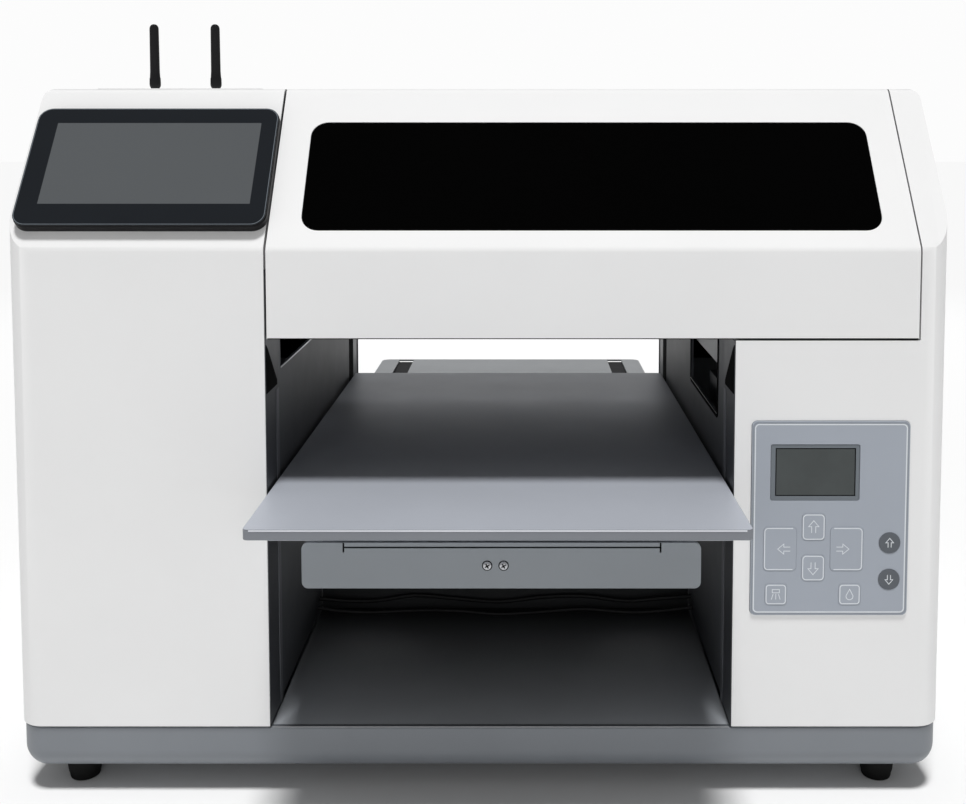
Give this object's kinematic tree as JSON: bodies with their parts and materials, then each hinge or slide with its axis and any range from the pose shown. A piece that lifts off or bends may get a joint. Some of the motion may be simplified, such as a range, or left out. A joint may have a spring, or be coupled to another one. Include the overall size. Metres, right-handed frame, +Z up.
{
  "type": "desktop flatbed printer",
  "caption": "Desktop flatbed inkjet printer: white columns, tinted lifting hood, sliding bed on a rising base, touch screen and key panel.",
  "frame": {"origin": "on the floor, at the centre of the object's outer box", "axes": "+Z up, front towards -Y, +X to the right seen from the front"},
  "size_m": [0.7, 0.789, 0.594],
  "materials": {
    "white_shell": "satin moulded",
    "base_grey": "satin powder coat",
    "dark_sheet": "fine matt powder coat",
    "base_black": "black anodised",
    "bed_grey": "fine bead-blasted anodised",
    "plate_grey": "satin anodised",
    "cover_grey": "satin",
    "panel_blue": "satin printed film",
    "black_plastic": "satin",
    "black_gloss": "gloss",
    "lcd": "gloss",
    "rubber": "matt",
    "steel": "ground",
    "aluminium": "satin",
    "board_green": "solder mask",
    "tank": "translucent"
  },
  "bodies": {
    "chassis": {"base_pan": "base_grey", "rear_panel": "base_grey", "floor_plate": "base_grey", "foot_front_left": "rubber", "foot_front_right": "rubber", "foot_rear_left": "rubber", "foot_rear_right": "rubber", "x_belt": "rubber", "left_housing": "white_shell", "right_housing": "white_shell", "top_cover": "white_shell", "antenna_plate": "white_shell", "left_inner_wall": "dark_sheet", "right_inner_wall": "dark_sheet", "capping_station": "dark_sheet", "touch_panel_housing": "black_plastic", "power_inlet": "black_plastic", "x_motor": "black_plastic", "z_motor_left": "black_plastic", "z_motor_right": "black_plastic", "cavity_cable_upper": "black_plastic", "cavity_cable_lower": "black_plastic", "touch_glass": "black_gloss", "lcd_window": "lcd", "control_panel": "panel_blue", "hood_hinge_rod": "steel", "x_beam": "aluminium", "power_supply": "aluminium", "main_board": "board_green", "ink_tanks": "tank"},
    "hood": {"hood_shell": "white_shell", "hood_window": "black_gloss"},
    "lift_platform": {"y_base": "base_black", "y_front_plate": "plate_grey", "rear_tray": "bed_grey", "y_rail_left": "steel", "y_rail_right": "steel", "y_motor": "black_plastic"},
    "print_bed": {"bed_plate": "bed_grey", "bed_bracket_left": "steel", "bed_bracket_right": "steel"},
    "bed_drive_screw": {"y_screw": "steel"},
    "lift_screw_left": {"z_screw_left": "steel"},
    "lift_screw_right": {"z_screw_right": "steel"},
    "print_carriage": {"carriage_body": "cover_grey", "print_head": "black_plastic", "uv_lamp": "aluminium"},
    "drive_pulley": {"x_drive_pulley": "aluminium"},
    "idler_pulley": {"x_idler_pulley": "aluminium"},
    "rocker": {"power_switch": "black_plastic"},
    "antenna_left": {"antenna_left": "black_plastic"},
    "antenna_right": {"antenna_right": "black_plastic"},
    "key_up": {"key_up": "panel_blue"},
    "key_down": {"key_down": "panel_blue"},
    "key_left": {"key_left": "panel_blue"},
    "key_right": {"key_right": "panel_blue"},
    "key_nozzle": {"key_nozzle": "panel_blue"},
    "key_ink": {"key_ink": "panel_blue"},
    "key_round_upper": {"key_round_upper": "black_plastic"},
    "key_round_lower": {"key_round_lower": "black_plastic"}
  },
  "joints": [
    {"name": "hood_hinge", "type": "hinge", "parent": "chassis", "child": "hood", "pos_m": [0.085, -0.0565, 0.5322], "axis": [-1, 0, 0], "range_deg": [0, 70]},
    {"name": "platform_lift", "type": "slide", "parent": "chassis", "child": "lift_platform", "axis": [0, 0, 1], "range_m": [-0.088, 0.048]},
    {"name": "bed_slide", "type": "slide", "parent": "lift_platform", "child": "print_bed", "axis": [0, 1, 0], "range_m": [-0.15, 0.245]},
    {"name": "carriage_slide", "type": "slide", "parent": "chassis", "child": "print_carriage", "axis": [1, 0, 0], "range_m": [-0.347, 0]},
    {"name": "lift_screw_left_turn", "type": "hinge", "parent": "chassis", "child": "lift_screw_left", "pos_m": [-0.2, 0.017, 0.0572], "axis": [0, 0, 1], "range_deg": [-3962, 2162]},
    {"name": "lift_screw_right_turn", "type": "hinge", "parent": "chassis", "child": "lift_screw_right", "pos_m": [0.2325, 0.017, 0.0572], "axis": [0, 0, 1], "range_deg": [-3962, 2162]},
    {"name": "bed_screw_turn", "type": "hinge", "parent": "lift_platform", "child": "bed_drive_screw", "pos_m": [-0.1377, -0.2455, 0.1875], "axis": [0, 1, 0], "range_deg": [-5403, 8823]},
    {"name": "drive_pulley_turn", "type": "hinge", "parent": "chassis", "child": "drive_pulley", "pos_m": [-0.215, -0.0585, 0.396], "axis": [0, 0, 1], "range_deg": [-2398, 2]},
    {"name": "idler_pulley_turn", "type": "hinge", "parent": "chassis", "child": "idler_pulley", "pos_m": [0.318, -0.0585, 0.396], "axis": [0, 0, 1], "range_deg": [-2398, 2]},
    {"name": "key_up_press", "type": "slide", "parent": "chassis", "child": "key_up", "axis": [0, 1, 0], "range_m": [0, 0.0008], "stiffness_N_per_m": 900},
    {"name": "key_down_press", "type": "slide", "parent": "chassis", "child": "key_down", "axis": [0, 1, 0], "range_m": [0, 0.0008], "stiffness_N_per_m": 900},
    {"name": "key_left_press", "type": "slide", "parent": "chassis", "child": "key_left", "axis": [0, 1, 0], "range_m": [0, 0.0008], "stiffness_N_per_m": 900},
    {"name": "key_right_press", "type": "slide", "parent": "chassis", "child": "key_right", "axis": [0, 1, 0], "range_m": [0, 0.0008], "stiffness_N_per_m": 900},
    {"name": "key_nozzle_press", "type": "slide", "parent": "chassis", "child": "key_nozzle", "axis": [0, 1, 0], "range_m": [0, 0.0008], "stiffness_N_per_m": 900},
    {"name": "key_ink_press", "type": "slide", "parent": "chassis", "child": "key_ink", "axis": [0, 1, 0], "range_m": [0, 0.0008], "stiffness_N_per_m": 900},
    {"name": "key_round_upper_press", "type": "slide", "parent": "chassis", "child": "key_round_upper", "axis": [0, 1, 0], "range_m": [0, 0.0008], "stiffness_N_per_m": 900},
    {"name": "key_round_lower_press", "type": "slide", "parent": "chassis", "child": "key_round_lower", "axis": [0, 1, 0], "range_m": [0, 0.0008], "stiffness_N_per_m": 900},
    {"name": "power_rocker", "type": "hinge", "parent": "chassis", "child": "rocker", "pos_m": [0.25, 0.1825, 0.153], "axis": [1, 0, 0], "range_deg": [0, 14]},
    {"name": "antenna_left_tilt", "type": "hinge", "parent": "chassis", "child": "antenna_left", "pos_m": [-0.2807, -0.1555, 0.543], "axis": [-1, 0, 0], "range_deg": [-80, 85]},
    {"name": "antenna_right_tilt", "type": "hinge", "parent": "chassis", "child": "antenna_right", "pos_m": [-0.2288, -0.1555, 0.543], "axis": [-1, 0, 0], "range_deg": [-80, 85]}
  ],
  "couplings": [
    {"joint": "lift_screw_left_turn", "follows": "platform_lift", "rad_per_m": 785.4},
    {"joint": "lift_screw_right_turn", "follows": "platform_lift", "rad_per_m": 785.4},
    {"joint": "bed_screw_turn", "follows": "bed_slide", "rad_per_m": 628.32},
    {"joint": "drive_pulley_turn", "follows": "carriage_slide", "rad_per_m": 120.48},
    {"joint": "idler_pulley_turn", "follows": "carriage_slide", "rad_per_m": 120.48}
  ]
}
